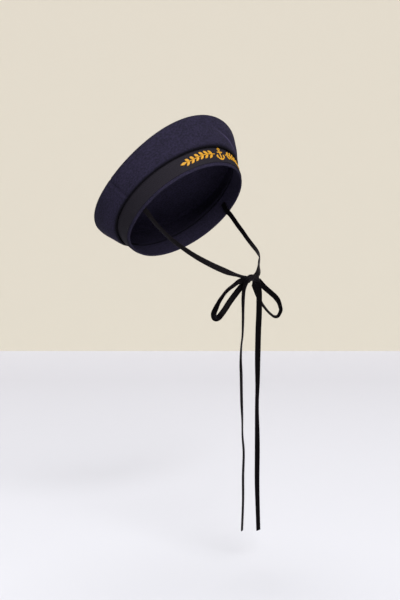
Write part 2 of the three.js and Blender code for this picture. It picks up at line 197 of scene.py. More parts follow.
def make_piece(name, points, faces, material, places=None):
    """A smooth mesh from points in mm and a list of faces; places are each corner's mm on the cloth."""
    mesh = bpy.data.meshes.new(name)
    mesh.from_pydata((np.asarray(points) * MM).tolist(), [], [list(map(int, f)) for f in faces])
    mesh.polygons.foreach_set("use_smooth", [True] * len(mesh.polygons))
    if places is not None:
        layer = mesh.uv_layers.new(name="cloth_mm")
        layer.uv.foreach_set("vector", np.asarray(places, np.float32).ravel())
    mesh.materials.append(material)
    mesh.update()
    piece = bpy.data.objects.new(name, mesh)
    bpy.context.scene.collection.objects.link(piece)
    return piece


def steps_between(points):
    """Distance run along a row of points, from 0 at the first."""
    lengths = np.linalg.norm(np.diff(points, axis=0), axis=1)
    return np.concatenate([[0.0], np.cumsum(lengths)])


def round_steps(count):
    """Even angles all the way round."""
    return np.linspace(0, 2 * np.pi, count, endpoint=False)


def unit(vectors):
    return vectors / np.linalg.norm(vectors, axis=-1, keepdims=True)


def smoothstep(x):
    x = np.clip(x, 0.0, 1.0)
    return x * x * (3 - 2 * x)


# The camera, at the photograph's viewing angle

CAMERA_PLACE = (-0.9905, -0.9164, -0.0229)
CAMERA_DOWN = math.radians(4.3)
CAMERA_HEADING = math.radians(-48)
CAMERA_LENS = 57.0
CAMERA_SENSOR = 36.0


def add_camera():
    camera = bpy.data.objects.new("camera", bpy.data.cameras.new("camera"))
    camera.data.lens = CAMERA_LENS
    camera.data.sensor_width = CAMERA_SENSOR
    camera.location = CAMERA_PLACE
    camera.rotation_euler = (math.radians(90) - CAMERA_DOWN, 0, CAMERA_HEADING)
    bpy.context.scene.collection.objects.link(camera)
    bpy.context.scene.camera = camera


# Materials

def linear(code):
    """A linear colour from an sRGB hex code."""
    values = [int(code[i:i + 2], 16) / 255 for i in (1, 3, 5)]
    return [v / 12.92 if v <= 0.04045 else ((v + 0.055) / 1.055) ** 2.4 for v in values] + [1.0]


def add(tree, kind, sockets=None, stops=(), **settings):
    """Adds a node: each socket takes a value or another node's output, stops are places and colours on a
    ramp, and settings are its other properties."""
    node = tree.nodes.new(kind)
    for name, value in settings.items():
        setattr(node, name, value)
    for index, (position, code) in enumerate(stops):
        node.color_ramp.elements[index].position = position
        node.color_ramp.elements[index].color = linear(code)
    for name, value in (sockets or {}).items():
        if isinstance(value, bpy.types.NodeSocket):
            tree.links.new(value, node.inputs[name])
        else:
            node.inputs[name].default_value = value
    return node


def start_material(name):
    """A new material, its node tree, and the surface's own places, which are mm on the cloth."""
    material = bpy.data.materials.new(name)
    material.use_nodes = True
    tree = material.node_tree
    tree.nodes.clear()
    places = add(tree, "ShaderNodeUVMap", uv_map="cloth_mm").outputs["UV"]
    return material, tree, places


def end_material(material, tree, shader):
    add(tree, "ShaderNodeOutputMaterial", {"Surface": shader.outputs["BSDF"]})
    return material


# The length of one band of a wave texture whose scale is 1
WAVE_TURN = 2 * math.pi / 20


def wool_melton(name, dark, light, ridge_highlight_colour, painted_shade_colour):
    """Milled wool: a fulled twill whose nap blurs the weave, so it is matt, mottled and soft at its edges,
    painted paler on a crease's ridge as a painted highlight, and darker in the fold by the hem as painted
    shade.
    Its twill and its tufts are drawn two or three times as coarse as real ones, so that they show."""
    twill_mm = 1.7
    twill_slant = math.radians(52)
    tuft_mm = 2.9
    cloud_mm = 20.0
    material, tree, places = start_material(name)
    slanted = add(tree, "ShaderNodeMapping", {"Vector": places, "Rotation": (0, 0, twill_slant)})
    twill = add(tree, "ShaderNodeTexWave", {
        "Vector": slanted.outputs["Vector"], "Scale": WAVE_TURN / twill_mm, "Distortion": 1.6,
        "Detail": 2.0, "Detail Scale": 2.0})
    tufts = add(tree, "ShaderNodeTexNoise", {
        "Vector": places, "Scale": 1 / tuft_mm, "Detail": 3.0, "Roughness": 0.5})
    clouds = add(tree, "ShaderNodeTexNoise", {"Vector": places, "Scale": 1 / cloud_mm, "Detail": 2.0})
    weave = add(tree, "ShaderNodeMix", {
        "Factor": 0.8, "A": twill.outputs["Fac"], "B": tufts.outputs["Fac"]}, data_type="FLOAT")
    tone = add(tree, "ShaderNodeMix", {
        "Factor": 0.2, "A": weave.outputs["Result"], "B": clouds.outputs["Fac"]}, data_type="FLOAT")
    stops = [(0.45, dark), (0.55, light)]
    shade = add(tree, "ShaderNodeValToRGB", {"Fac": tone.outputs["Result"]}, stops)
    # Painted highlight where a piece marks a ridge
    painted_highlight = add(tree, "ShaderNodeAttribute", attribute_name="painted_highlight")
    with_painted_highlight = add(tree, "ShaderNodeMixRGB", {
        "Fac": painted_highlight.outputs["Fac"], "Color1": shade.outputs["Color"], "Color2": linear(ridge_highlight_colour)})
    # Painted shade where a piece marks the fold by the hem
    deep = add(tree, "ShaderNodeAttribute", attribute_name="deep")
    with_painted_shade = add(tree, "ShaderNodeMixRGB", {
        "Fac": deep.outputs["Fac"], "Color1": with_painted_highlight.outputs["Color"], "Color2": linear(painted_shade_colour)})
    nap = add(tree, "ShaderNodeBump", {
        "Height": weave.outputs["Result"], "Strength": 0.55, "Distance": 0.0004})
    cloth = add(tree, "ShaderNodeBsdfPrincipled", {
        "Base Color": with_painted_shade.outputs["Color"], "Roughness": 0.95, "Specular IOR Level": 0.06,
        "Sheen Weight": 0.02, "Sheen Roughness": 0.45, "Sheen Tint": linear("#8d86b0"),
        "Normal": nap.outputs["Normal"]})
    return end_material(material, tree, cloth)


def black_grosgrain():
    """Ribbed ribbon, woven of dull silk: its ribs break up what little light it throws back, so it is
    nearly matt. Its flecks are drawn about three times as coarse as its threads, so that they show."""
    fleck_mm = 0.9
    material, tree, places = start_material("black_grosgrain_ribbon")
    flecks = add(tree, "ShaderNodeTexNoise", {"Vector": places, "Scale": 1 / fleck_mm, "Detail": 3.0})
    stops = [(0.3, "#1a181c"), (0.7, "#2c2930")]
    shade = add(tree, "ShaderNodeValToRGB", {"Fac": flecks.outputs["Fac"]}, stops)
    threads = add(tree, "ShaderNodeBump", {
        "Height": flecks.outputs["Fac"], "Strength": 0.35, "Distance": 0.0002})
    ribbon = add(tree, "ShaderNodeBsdfPrincipled", {
        "Base Color": shade.outputs["Color"], "Roughness": 0.62, "Specular IOR Level": 0.03,
        "Normal": threads.outputs["Normal"]})
    return end_material(material, tree, ribbon)


def black_velvet(name, dark, light):
    """Velvet ribbon: a short black pile that is dull face on and shows a soft grey bloom at its edges. The
    pile is drawn about three times as coarse as a real one, so that it shows."""
    pile_mm = 0.7
    material, tree, places = start_material(name)
    pile = add(tree, "ShaderNodeTexNoise", {"Vector": places, "Scale": 1 / pile_mm, "Detail": 3.0})
    stops = [(0.3, dark), (0.7, light)]
    shade = add(tree, "ShaderNodeValToRGB", {"Fac": pile.outputs["Fac"]}, stops)
    brushed = add(tree, "ShaderNodeBump", {
        "Height": pile.outputs["Fac"], "Strength": 0.4, "Distance": 0.0003})
    ribbon = add(tree, "ShaderNodeBsdfPrincipled", {
        "Base Color": shade.outputs["Color"], "Roughness": 0.4, "Specular IOR Level": 0.015,
        "Sheen Weight": 0.2, "Sheen Roughness": 0.3, "Sheen Tint": linear("#a79fb8"),
        "Normal": brushed.outputs["Normal"]})
    return end_material(material, tree, ribbon)


def gold_thread():
    """Rayon embroidery thread: smooth twisted filament, so it is bright and glossy along each stitch. Its
    strands are drawn about twice as coarse as real ones, so that they show."""
    strand_mm = 0.5
    material, tree, places = start_material("gold_embroidery_thread")
    strands = add(tree, "ShaderNodeTexNoise", {"Vector": places, "Scale": 1 / strand_mm, "Detail": 2.0})
    stops = [(0.25, "#b37a10"), (0.75, "#d09c22")]
    shade = add(tree, "ShaderNodeValToRGB", {"Fac": strands.outputs["Fac"]}, stops)
    thread = add(tree, "ShaderNodeBsdfPrincipled", {
        "Base Color": shade.outputs["Color"], "Roughness": 0.42, "Specular IOR Level": 0.3,
        "Sheen Weight": 0.05, "Sheen Tint": linear("#ffe9b0")})
    return end_material(material, tree, thread)


def stage_paint(name, stops):
    """Matt studio paint whose tone shifts a little from one edge of a plane to the other; its places run
    from 0 to 1 across the plane."""
    material, tree, places = start_material(name)
    height = add(tree, "ShaderNodeSeparateXYZ", {"Vector": places})
    tone = add(tree, "ShaderNodeValToRGB", {"Fac": height.outputs["Y"]}, stops)
    paint = add(tree, "ShaderNodeBsdfPrincipled", {
        "Base Color": tone.outputs["Color"], "Roughness": 0.9, "Specular IOR Level": 0.1})
    return end_material(material, tree, paint)


# The tie: flat ribbons along their routes

def blend(x, low, high, first, second):
    """From the first to the second in step with x from low to high."""
    share = (x - low) / (high - low)
    return first * (1 - share) + second * share


def smooth_route(stops, step):
    """Points about a step apart on the smooth curve through the stops, and the distance run at each."""
    stops = np.asarray(stops, float)
    ends = [2 * stops[0] - stops[1], 2 * stops[-1] - stops[-2]]
    knots = np.vstack([ends[0], stops, ends[1]])
    fine = []
    for i in range(1, len(knots) - 2):
        p = knots[i - 1:i + 3]
        t = np.concatenate([[0.0], np.cumsum(np.sqrt(np.linalg.norm(np.diff(p, axis=0), axis=1)))])
        x = np.linspace(t[1], t[2], CURVE_STEPS, endpoint=False)[:, None]
        a = [blend(x, t[k], t[k + 1], p[k], p[k + 1]) for k in range(3)]
        b = [blend(x, t[k], t[k + 2], a[k], a[k + 1]) for k in range(2)]
        fine.append(blend(x, t[1], t[2], b[0], b[1]))
    fine = np.vstack([*fine, stops[-1:]])
    run = steps_between(fine)
    at = np.linspace(0, run[-1], math.ceil(run[-1] / step) + 1)
    return np.stack([np.interp(at, run, fine[:, k]) for k in range(3)], -1), at


def out_of_oval(middle):
    """A strap faces straight out from its upright oval."""
    return np.stack([
        middle[:, 0] / STRAP_OVAL_WIDTH ** 2,
        (middle[:, 1] - STRAP_OVAL_SHIFT) / STRAP_OVAL_LENGTH ** 2,
        np.zeros(len(middle))], -1)


def one_way(way):
    return lambda middle: np.broadcast_to(way, middle.shape)


def facing(way_at, turns):
    """The way across a ribbon that faces one way, turned about its length by its table."""
    shares, degrees = np.transpose(turns)

    def across(middle, along, share):
        side = unit(np.cross(along, way_at(middle)))
        after = np.clip(np.searchsorted(shares, share), 1, len(shares) - 1)
        low, high = shares[after - 1], shares[after]
        eased = smoothstep((share - low) / (high - low))
        turn = np.radians(degrees[after - 1] + (degrees[after] - degrees[after - 1]) * eased)[:, None]
        return side * np.cos(turn) + np.cross(along, side) * np.sin(turn)
    return across


RIBBON_SIDES = 22
# Powers that shape a ribbon's section: the lower they are, the squarer it is
SECTION_ACROSS = 0.45
SECTION_THROUGH = 0.75
# How far a ribbon is cupped, also where it is gathered, and the share of its width that the gather takes
RIBBON_CUP = math.radians(6)
GATHER_CUP = math.radians(45)
GATHER_NARROW = 0.2
TUCK_POINTS = 9
# Where a ribbon's gather is full and where it ends, in mm from its tuck in the knot
LONG_GATHER = (18.0, 42.0)
SHORT_GATHER = (1.0, 9.0)


def ribbon_section():
    """Places round a flat ribbon's section: across it and through it, with firm rounded edges."""
    angle = round_steps(RIBBON_SIDES)
    c, s = np.cos(angle), np.sin(angle)
    across = np.sign(c) * np.abs(c) ** SECTION_ACROSS * TIE_WIDTH / 2
    through = np.sign(s) * np.abs(s) ** SECTION_THROUGH * TIE_THICK / 2
    return across, through


def tie_ribbon(name, route, across_at, material, tucks, gather):
    """A flat ribbon along a route. An end that the knot holds goes on to its tuck and is gathered on the
    way. Returns the ribbon, its path and its length."""
    middle, run = smooth_route(route, TIE_STEP)
    share = run / run[-1]
    from_knot = np.full(len(run), np.inf)
    if tucks[0] is not None:
        start = np.linspace(tucks[0], middle[0], TUCK_POINTS)[:-1]
        middle = np.vstack([start, middle])
        share = np.concatenate([np.zeros(len(start)), share])
        from_knot = np.minimum(np.pad(from_knot, (len(start), 0)), steps_between(middle))
    if tucks[1] is not None:
        end = np.linspace(middle[-1], tucks[1], TUCK_POINTS)[1:]
        middle = np.vstack([middle, end])
        share = np.concatenate([share, np.ones(len(end))])
        from_knot = np.minimum(np.pad(from_knot, (0, len(end))), steps_between(middle[::-1])[::-1])
    run = steps_between(middle)
    along = unit(np.gradient(middle, axis=0))
    across = across_at(middle, along, share)
    face = np.cross(along, across)
    gathered = 1 - smoothstep((from_knot - gather[0]) / (gather[1] - gather[0]))[:, None]
    cup = RIBBON_CUP + (GATHER_CUP - RIBBON_CUP) * gathered
    section_across, section_through = ribbon_section()
    narrowed = section_across * (1 - GATHER_NARROW * gathered)
    bent_across = narrowed * np.cos(cup)
    bent_through = section_through + (np.abs(narrowed) - TIE_WIDTH / 4) * np.sin(cup)
    points = (middle[:, None] + across[:, None] * bent_across[..., None]
              + face[:, None] * bent_through[..., None])
    faces = [corners[::-1] for corners in tube_faces(len(run), RIBBON_SIDES)]
    round_mm = np.linspace(0, 2 * (TIE_WIDTH + TIE_THICK), RIBBON_SIDES + 1)
    places = grid_map(round_mm, run)[:, ::-1].reshape(-1, 2)
    ends = np.stack([section_across, section_through], -1)
    places = np.concatenate([places, ends, ends[::-1]])
    piece = make_piece(name, points.reshape(-1, 3), faces, material, places)
    return piece, middle * MM, run[-1] * MM


KNOT_SIDES = 96
KNOT_ANGLES = round_steps(KNOT_SIDES)
KNOT_GIRTH = 30.0
# The pleated core: its reach to each side, how its ends hang, and its radius, which flares from a waist,
# closes at the ends and is fuller at the wearer's left
KNOT_ROWS = 70
KNOT_REACH = 12.2
KNOT_ARCH = 0.030
KNOT_WAIST = 3.1
KNOT_FLARE = 1.4
KNOT_FLARE_BY = 0.8
KNOT_CLOSES = 2.6
KNOT_CLOSES_FROM = 0.82
KNOT_FULLER_LEFT = 0.9
KNOT_FULLER_BY = 6.0
# Its pleats: share of the radius, how many, how they twist along the core, and where they start
Pleat = namedtuple("Pleat", "deep count twist start")
KNOT_PLEATS = [Pleat(0.10, 5, 0.12, 0.0), Pleat(0.07, 9, -0.2, 1.0)]
# The two turns over its middle: where they begin, end and part, and how they are rounded and creased
WRAP_ROWS = 48
WRAP_FROM = -6.2
WRAP_TO = 6.6
WRAP_ARCH = 0.015
WRAP_ROUND = 4.7
WRAP_VALLEY = 0.9
WRAP_VALLEY_DEEP = 1.1
WRAP_VALLEY_WIDE = 1.0
WRAP_EDGE = 2.4
WRAP_EDGE_DROP = 1.6
WRAP_CREASE = 2.1
WRAP_CREASE_HIGH = 0.14
WRAP_CREASE_VARIES = 0.4
WRAP_CREASE_FACES = 0.8
WRAP_OVAL = 0.25
WRAP_OVAL_FACES = 0.25
WRAP_SLANT = 1.1


def knot_part(x, radius, arch):
    """Points round the X axis: places along X, a radius for each place and side, and how the ends hang."""
    along = np.broadcast_to(x[:, None], radius.shape)
    hang = -arch * along ** 2
    points = np.stack([along, radius * np.cos(KNOT_ANGLES), radius * np.sin(KNOT_ANGLES) + hang], -1)
    return points + KNOT_CENTRE


def knot_core():
    x = np.linspace(-KNOT_REACH, KNOT_REACH, KNOT_ROWS)
    share = np.abs(x) / KNOT_REACH
    closing = smoothstep((share - KNOT_CLOSES_FROM) / (1 - KNOT_CLOSES_FROM))
    flare = KNOT_WAIST + KNOT_FLARE * smoothstep(share / KNOT_FLARE_BY) - KNOT_CLOSES * closing
    flare += KNOT_FULLER_LEFT * smoothstep(x / KNOT_FULLER_BY)
    pleats = sum(
        p.deep * np.cos(p.count * KNOT_ANGLES + p.twist * x[:, None] + p.start) for p in KNOT_PLEATS)
    return knot_part(x, flare[:, None] * (1 + pleats), KNOT_ARCH)


def knot_wrap():
    x = np.linspace(WRAP_FROM, WRAP_TO, WRAP_ROWS)
    edge = np.minimum(x - WRAP_FROM, WRAP_TO - x)
    valley = WRAP_VALLEY_DEEP * np.exp(-((x - WRAP_VALLEY) / WRAP_VALLEY_WIDE) ** 2)
    lobes = WRAP_ROUND - valley - WRAP_EDGE_DROP * (1 - smoothstep(edge / WRAP_EDGE))
    crease = WRAP_CREASE_HIGH * np.cos(2 * np.pi * x / WRAP_CREASE)[:, None]
    crease = crease * (1 + WRAP_CREASE_VARIES * np.cos(KNOT_ANGLES + WRAP_CREASE_FACES))
    oval = WRAP_OVAL * np.cos(2 * (KNOT_ANGLES - WRAP_OVAL_FACES))
    wrap = knot_part(x, lobes[:, None] + crease + oval, WRAP_ARCH)
    wrap[..., 0] += WRAP_SLANT * np.sin(KNOT_ANGLES)
    return wrap


def bow_knot(material):
    """The knot: pleated ribbon that flares and hangs at both ends, and two turns pulled over its middle."""
    points, faces, places = [], [], []
    round_mm = np.linspace(0, KNOT_GIRTH, KNOT_SIDES + 1)
    for part in (knot_core(), knot_wrap()):
        faces += tube_faces(len(part), KNOT_SIDES, start=sum(map(len, points)))
        places.append(grid_map(round_mm, steps_between(part[:, 0])).reshape(-1, 2))
        places += [part[0, ::-1, 1:], part[-1, :, 1:]]
        points.append(part.reshape(-1, 3))
    return make_piece("bow_knot_wrapped", np.vstack(points), faces, material, np.concatenate(places))


# The cap: rings of cloth

def between(lower, upper, share):
    return Ring(*(a + (b - a) * share for a, b in zip(lower, upper)))


def moved(ring, out, rise):
    return ring._replace(
        half_length=ring.half_length + out, half_width=ring.half_width + out, height=ring.height + rise)


ANGLES = round_steps(ROUND_CAP)


def degrees_from(angle, angles):
    return (np.degrees(angles) - angle + 180) % 360 - 180


def fold_shape(fold, level, angles):
    """How much of a fold there is at a share of the way up the crown's side, from 0 to 1."""
    along = degrees_from(fold.angle, angles)
    across = level - fold.level - fold.slant * along
    return np.exp(-(along / fold.reach) ** 2 - (across / fold.spread) ** 2)


def fold_out(level, angles):
    """How far the folds push the crown's side out, at a share of the way up."""
    return sum(fold.out * fold_shape(fold, level, angles) for fold in FOLDS)


def shifted(shift, angles):
    return shift.far * np.exp(-(degrees_from(shift.angle, angles) / shift.reach) ** 2)


def ring_points(ring, angles, out=0.0):
    return np.stack([
        -(ring.half_width + out) * np.sin(angles),
        ring.back - (ring.half_length + out) * np.cos(angles),
        ring.height + ring.front_lift * np.cos(angles) + ring.saddle * np.cos(2 * angles)], -1)


def leaned(points):
    """Points of the upright cap, in its worn place."""
    x, y, z = np.moveaxis(np.asarray(points), -1, 0)
    c, s = math.cos(CAP_LEAN), math.sin(CAP_LEAN)
    return np.stack([x, c * y + s * z, -s * y + c * z], -1)


# Round the cap and round its band, on the cloth, from a mean radius of each
CAP_GIRTH = 2 * math.pi * 100
BAND_GIRTH = 2 * math.pi * 92


def ring_piece(name, rows, material, angles=ANGLES):
    """A closed wall all round the cap; its rows of points go up the outside and down the inside."""
    points = np.stack(rows)
    faces = grid_faces(len(rows), len(angles), wrap_rows=True, wrap_columns=True)
    run = steps_between(np.vstack([points[:, 0], points[:1, 0]]))
    places = grid_map(np.linspace(0, CAP_GIRTH, len(angles) + 1), run)
    return make_piece(name, leaned(points).reshape(-1, 3), faces, material, places.reshape(-1, 2))


def panel_piece(name, rows, material, angles):
    """A closed wall from one seam to another; its rows go up the outside and down the inside."""
    points = np.stack(rows)
    count, columns = points.shape[:2]
    faces = grid_faces(count, columns, wrap_rows=True).tolist()
    run = steps_between(np.vstack([points[:, columns // 2], points[:1, columns // 2]]))
    places = grid_map(angles * CAP_GIRTH / (2 * np.pi), run).reshape(-1, 2)
    first = [r * columns for r in range(count)]
    faces.append(first)
    faces.append([r + columns - 1 for r in reversed(first)])
    ends = np.stack([np.zeros(count), run[:-1]], -1)
    places = np.concatenate([places, ends, ends[::-1]])
    return make_piece(name, leaned(points).reshape(-1, 3), faces, material, places)


BAND_TOP = moved(TALLY_TOP, -TALLY_THICK - GAP, 0)
BAND_ROUND = BAND_THICK / 2
BAND_ROWS = 14
# The fold at the band's foot: the share of the way up where it begins, and the rows of points round it
BAND_FOLD = 0.04
FOLD_ROWS = 9


def band_ring(share, angles):
    """The band's outside at a share of the way up from its foot, which is pushed up in one place."""
    return between(OPENING, BAND_TOP, share + (1 - share) * shifted(FOOT_LIFT, angles) / BAND_TOP.height)


def headband(material):
    """The cloth band: folded round at its lower edge, plain inside."""
    shares = np.linspace(BAND_FOLD, 1, BAND_ROWS)
    rings = [band_ring(share, ANGLES) for share in shares]
    rings += [moved(band_ring(share, ANGLES), -BAND_THICK, 0) for share in shares[::-1]]
    foot = band_ring(BAND_FOLD, ANGLES)
    for turn in np.linspace(math.pi, 0, FOLD_ROWS)[1:-1]:
        rings.append(moved(foot, BAND_ROUND * (math.cos(turn) - 1), -BAND_ROUND * math.sin(turn)))
    rows = [ring_points(ring, ANGLES) for ring in rings]
    return ring_piece("headband_cloth", rows, material)


RIB_MM = 1.7
RIB_HIGH = 0.10
RIB_POINTS = 4
# From each edge of the ribbon: its smooth selvedge, how fast the ribs rise beyond it, and its rounding
SELVEDGE_MM = 0.66
RIB_RISE_MM = 0.5
EDGE_ROUND_MM = 0.3
EDGE_ROUND_IN = 0.25
# The ribbon's foot and head on the band, its rows of points up from its foot and down from its head, and
# how far in its face begins, all as shares of the band's height
TALLY_FOOT = (BAND_EDGE_SHOWN + GAP) / BAND_TOP.height
TALLY_HEAD = 0.99
TALLY_FOOT_ROWS = np.array([0.0, 0.012, 0.045])
TALLY_HEAD_ROWS = np.array([0.04, 0.012, 0.0])
TALLY_FACE_IN = 0.06
TALLY_FACE_ROWS = 6


def tally_ribbon(material):
    """The ribbed ribbon round the band: its ribs cross its width, and a smooth selvedge runs along each
    edge. The ribs are drawn about twice as wide as real ones, so that they show."""
    ribs = round(CAP_GIRTH / RIB_MM)
    angles = round_steps(ribs * RIB_POINTS)
    rib = RIB_HIGH * np.cos(ribs * angles)
    face = np.linspace(TALLY_FOOT + TALLY_FACE_IN, TALLY_HEAD - TALLY_FACE_IN, TALLY_FACE_ROWS)
    shares = np.concatenate([TALLY_FOOT + TALLY_FOOT_ROWS, face, TALLY_HEAD - TALLY_HEAD_ROWS])
    rows = []
    for share in shares:
        edge = min(share - TALLY_FOOT, TALLY_HEAD - share) * BAND_TOP.height
        ribbed = smoothstep((edge - SELVEDGE_MM) / RIB_RISE_MM)
        rounding = -EDGE_ROUND_IN * (1 - smoothstep(edge / EDGE_ROUND_MM))
        ring = moved(band_ring(share, angles), GAP + TALLY_THICK + rounding, 0)
        rows.append(ring_points(ring, angles, rib * ribbed))
    for share in (TALLY_HEAD, TALLY_FOOT):
        rows.append(ring_points(moved(band_ring(share, angles), GAP, 0), angles))
    return ring_piece("tally_ribbon_ribbed", rows, material, angles)


# The hem: its thickness halved, its soft roll inwards, and how far up the roll and the painted shade reach
HEM_ROUND = 0.8
HEM_TURN = np.radians(np.linspace(180, 350, 12))
HEM_ROLL_IN = 1.3
HEM_ROLL_LEVEL = 0.11
PAINTED_SHADE_LEVEL = 0.12
# The side seams: the gap between the panels, the groove, and the swellings beside it
SEAM_GAP = math.radians(0.04)
SEAM_DIP = 0.6
SEAM_WIDE = 2.0
SEAM_PUFF = 0.35
SEAM_PUFF_AWAY = 4.5
SEAM_PUFF_WIDE = 3.0
# The seam on the rim: how deep the cloth is tucked into it, and in which steps
SEAM_TUCK = 1.3
TUCK_SHARES = (0.25, 0.7, 1.0)
# Where points lie: up the wall, close to a seam and clear of it, and in the turn over the rim
HEM_ROLL_ROWS = 9
WALL_ROWS = 46
WALL_SHARES = np.concatenate([
    np.linspace(0, HEM_ROLL_LEVEL, HEM_ROLL_ROWS)[:-1], np.linspace(HEM_ROLL_LEVEL, 1, WALL_ROWS)])
SEAM_STEPS = np.radians([0, 0.15, 0.35, 0.6, 0.9, 1.3, 1.8, 2.5, 3.2])
SEAM_CLEAR_DEG = 4
RIM_ROWS = 9
RIM_INSIDE_ROWS = 6
# The deep slot behind the hem: share of the way out across it, and mm up from the ribbon's top edge
SLOT_INNER = -0.45
SLOT_WALL = [(0.0, 0.3), (0.0, 2.6), (0.05, 5.0), (0.4, 5.9), (0.75, 5.4), (0.95, 4.0)]
# The cloth's edge over the ribbon, and the foot of its inside: mm out and up from the ribbon's top edge
EDGE_OVER_RIBBON = (-2.4, 0.3)
INSIDE_FOOT = [(1.0, 8.2), (-1.6, 6.8)]
# The inside of the slanted wall: shares of the way up, and of the cloth's thickness inwards and up
INSIDE_SHARES = np.linspace(0.95, 0.16, 12)
INSIDE_IN = 0.87
INSIDE_UP = 0.5
# Long shallow waves in the side: mm high, how many, how they climb, and where they start
Wave = namedtuple("Wave", "high count climb start")
EASE_WAVES = [Wave(0.30, 5, 4.0, 0.4), Wave(0.22, 9, -6.0, 2.1), Wave(0.16, 14, 9.0, 0.9)]


def cloth_ease(level, angles):
    """Slight looseness of soft cloth, in mm: long shallow waves that differ round the cap."""
    waves = sum(w.high * np.sin(w.count * angles + w.climb * level + w.start) for w in EASE_WAVES)
    return waves * math.sin(math.pi * min(max(level, 0.0), 1.0)) ** 0.5


def seam_pull(angles):
    """How the side seams draw the cloth in: a narrow groove between two slight swellings."""
    from_front = np.abs((angles + math.pi) % (2 * math.pi) - math.pi)
    away = np.abs(from_front - math.radians(SIDE_SEAM_DEG)) * RIM.half_width
    puff = SEAM_PUFF * np.exp(-((away - SEAM_PUFF_AWAY) / SEAM_PUFF_WIDE) ** 2)
    return puff - SEAM_DIP * np.exp(-(away / SEAM_WIDE) ** 2)


def hem_roll(level):
    """How far the cloth curls in towards the hem."""
    share = min(level / HEM_ROLL_LEVEL, 1.0)
    return HEM_ROLL_IN * (1 - math.sqrt(1 - (1 - share) ** 2))


def side_row(ring, level, angles=ANGLES):
    """A row of points on the crown's side, with its folds, its looseness and the pull of its seams."""
    out = fold_out(level, angles) + cloth_ease(level, angles) + seam_pull(angles) - hem_roll(level)
    points = ring_points(ring, angles, out)
    points[:, 2] -= sum(shifted(dip, angles) for dip in HEM_DIPS) * (1 - level) ** 2
    return points


def turned_over(ring, round_mm, angle):
    return moved(ring, -round_mm * (1 - math.cos(angle)), SHOULDER_DROP * round_mm * math.sin(angle))


def wall_ring(share):
    bulge = SIDE_BULGE * math.sin(math.pi * share)
    return moved(between(HEM, RIM, share), bulge, -BULGE_SAG * bulge)


def rim_rows(angles):
    """Rows of points that go down into the seam on the rim."""
    tucks = [SEAM_TUCK * share for share in TUCK_SHARES]
    rings = [turned_over(moved(RIM, -tuck, 0), RIM_ROUND - tuck, RIM_SEAM) for tuck in tucks]
    return [side_row(ring, 1.0, angles) for ring in rings]


def crown_side(name, material, seam_from, seam_to):
    """A panel of the crown's side: it hangs over the ribbon in a soft hem with a deep slot behind it,
    flares, and turns over at the rim."""
    start, end = math.radians(seam_from) + SEAM_GAP, math.radians(seam_to) - SEAM_GAP
    middle = np.radians(np.arange(seam_from + SEAM_CLEAR_DEG, seam_to - SEAM_CLEAR_DEG + 1))
    angles = np.concatenate([start + SEAM_STEPS, middle, end - SEAM_STEPS[::-1]])
    rows = [ring_points(moved(TALLY_TOP, *EDGE_OVER_RIBBON), angles)]
    hem_inner = HEM.half_width - TALLY_TOP.half_width - 2 * HEM_ROUND - HEM_ROLL_IN + fold_out(0, angles)
    for share, rise in SLOT_WALL:
        out = SLOT_INNER + (hem_inner - SLOT_INNER) * share
        rows.append(ring_points(moved(TALLY_TOP, 0, rise), angles, out))
    for turn in HEM_TURN:
        out = HEM_ROUND * (math.cos(turn) - 1)
        rows.append(side_row(moved(HEM, out, HEM_ROUND * math.sin(turn)), 0, angles))
    wall_from = len(rows)
    for share in WALL_SHARES:
        rows.append(side_row(wall_ring(share), share, angles))
    for turn in np.linspace(0, RIM_SEAM, RIM_ROWS)[1:]:
        rows.append(side_row(turned_over(RIM, RIM_ROUND, turn), 1.0, angles))
    rows += rim_rows(angles)
    inside = moved(RIM, -CLOTH_THICK, 0)
    for turn in np.linspace(RIM_SEAM, 0, RIM_INSIDE_ROWS):
        rows.append(side_row(turned_over(inside, RIM_ROUND - CLOTH_THICK, turn), 1.0, angles))
    for share in INSIDE_SHARES:
        ring = moved(wall_ring(share), -CLOTH_THICK * INSIDE_IN, CLOTH_THICK * INSIDE_UP)
        rows.append(side_row(ring, share, angles))
    for out, rise in INSIDE_FOOT:
        rows.append(ring_points(moved(TALLY_TOP, out, rise), angles))
    wall = slice(wall_from, wall_from + len(WALL_SHARES))
    # Painted highlight on the front ridge; painted shade in the slot behind the hem and at the wall's foot
    painted_highlight, deep = np.zeros((2, len(rows), len(angles)))
    painted_highlight[wall] = [fold_shape(FRONT_RIDGE, share, angles) for share in WALL_SHARES]
    deep[:wall_from] = 1.0
    deep[wall] = (np.clip(1 - WALL_SHARES / PAINTED_SHADE_LEVEL, 0, 1) ** 2)[:, None]
    piece = panel_piece(name, rows, material, angles)
    for wear, amount in (("painted_highlight", painted_highlight), ("deep", deep)):
        piece.data.attributes.new(wear, "FLOAT", "POINT").data.foreach_set("value", amount.ravel())
    return piece


# The top panel: where its rows of points lie, and its long shallow waves
TOP_SHARES = np.linspace(0.03, 0.97, 30)
TOP_EASE = 0.35
TOP_WAVES = 3
TOP_TWIST = 5


def panel_row(edge, share):
    """A row of points on the top panel, at a share of the way out to its edge."""
    lift = TOP_DOME * (1 - share * share)
    ring = Ring(edge.half_length * share, edge.half_width * share, edge.back, edge.height + lift,
                edge.front_lift * share, edge.saddle * share * share)
    points = ring_points(ring, ANGLES)
    points[:, 2] += TOP_EASE * np.sin(TOP_WAVES * ANGLES + TOP_TWIST * share) * share * (1 - share) * 4
    return points


